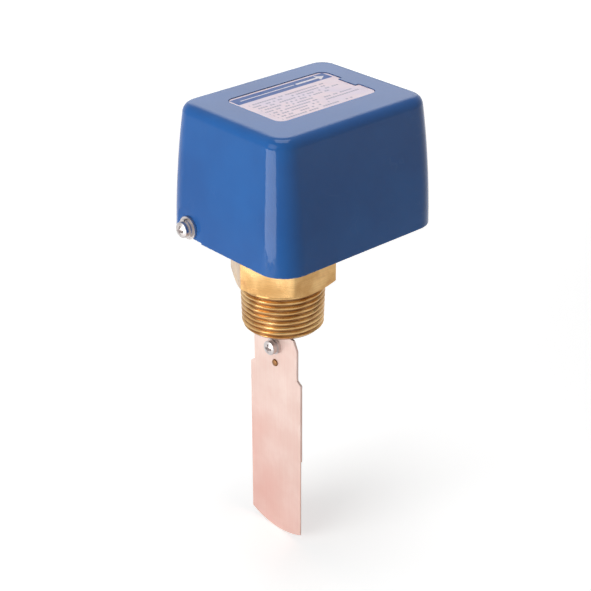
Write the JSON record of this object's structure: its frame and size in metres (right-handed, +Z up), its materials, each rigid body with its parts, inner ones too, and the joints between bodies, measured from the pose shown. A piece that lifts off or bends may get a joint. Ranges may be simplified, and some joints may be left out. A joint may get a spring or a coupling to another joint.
{
  "type": "paddle flow switch",
  "caption": "Paddle flow switch: a blue box cover over a snap switch, a brass hexagon with a taper pipe thread, and a thin bronze paddle hung below in the flow.",
  "frame": {"origin": "on the pipe thread's axis, in the flat underside of the hexagon", "axes": "+Z up out of the pipe along the thread's axis, +X with the flow, from the cover screw towards the conduit hole"},
  "size_m": [0.0867, 0.068, 0.1867],
  "materials": {
    "cover": "gloss blue enamel",
    "nameplate": "printed foil plate with a dark blue band",
    "brass": "turned and threaded, bright",
    "bronze": "thin drawn bronze",
    "paddle_leaf": "rolled phosphor bronze strip, satin",
    "stainless": "turned stainless steel",
    "screws": "bright nickel-plated steel",
    "spring_steel": "drawn spring wire",
    "zinc_plate": "zinc-plated pressed steel",
    "die_cast": "die-cast, as cast",
    "switch_moulding": "dark phenolic moulding",
    "lid_moulding": "brown phenolic moulding",
    "plunger_moulding": "red moulded button",
    "earth_green": "green dyed zinc plate"
  },
  "bodies": {
    "base": {"base_pan": "zinc_plate", "bellows": "bronze", "bellows_ring": "brass", "conduit_plate": "zinc_plate", "conduit_plate_rivets": "screws", "earth_screw": "earth_green", "frame_screws": "screws", "mechanism_frame": "zinc_plate", "pin_clip": "stainless", "pipe_fitting": "brass", "pivot_pin": "stainless", "ring_nut": "brass", "switch_case": "switch_moulding", "switch_lid": "lid_moulding", "switch_screws": "screws", "switch_terminals": "brass", "terminal_screws": "screws", "yoke": "zinc_plate"},
    "lever": {"rocker": "die_cast", "range_arm": "zinc_plate", "arm_screws": "screws", "stem": "stainless", "bellows_plug": "brass", "paddle": "paddle_leaf", "paddle_short": "paddle_leaf", "paddle_lock_washer": "screws", "paddle_screw": "screws", "locating_pin": "brass"},
    "plunger": {"switch_plunger": "plunger_moulding"},
    "range_screw": {"range_screw": "screws"},
    "range_nut": {"range_nut": "brass", "range_spring": "spring_steel"},
    "cover": {"cover": "cover", "nameplate": "nameplate"},
    "cover_washers": {"cover_washer": "screws", "cover_lock_washer": "screws"},
    "cover_screw": {"cover_screw": "screws"}
  },
  "joints": [
    {"name": "lever_pivot", "type": "hinge", "parent": "base", "child": "lever", "pos_m": [0, 0, 0.034], "axis": [0, -1, 0], "range_deg": [0, 6], "stiffness_Nm_per_rad": 0.3, "springref_deg": -9.74, "deforming": ["bellows", "range_spring"]},
    {"name": "plunger_slide", "type": "slide", "parent": "base", "child": "plunger", "axis": [0, 0, 1], "range_m": [0, 0.0016]},
    {"name": "range_screw_turn", "type": "hinge", "parent": "base", "child": "range_screw", "pos_m": [-0.016, 0, 0.062], "axis": [0, 0, 1], "range_deg": [-721, 721]},
    {"name": "range_nut_slide", "type": "slide", "parent": "base", "child": "range_nut", "axis": [0, 0, 1], "range_m": [-0.0014, 0.0014]},
    {"name": "cover_lift", "type": "slide", "parent": "base", "child": "cover", "axis": [0, 0, 1], "range_m": [0, 0.055]},
    {"name": "cover_screw_travel", "type": "slide", "parent": "base", "child": "cover_washers", "axis": [-1, 0, 0], "range_m": [0, 0.0021]},
    {"name": "cover_screw_turn", "type": "hinge", "parent": "cover_washers", "child": "cover_screw", "pos_m": [-0.032, 0.0195, 0.02374], "axis": [-1, 0, 0], "range_deg": [0, 1081]}
  ],
  "couplings": [
    {"joint": "plunger_slide", "follows": "lever_pivot", "m_per_rad": 0.0143},
    {"joint": "range_screw_turn", "follows": "range_nut_slide", "rad_per_m": -8976},
    {"joint": "cover_screw_turn", "follows": "cover_screw_travel", "rad_per_m": 8976}
  ]
}
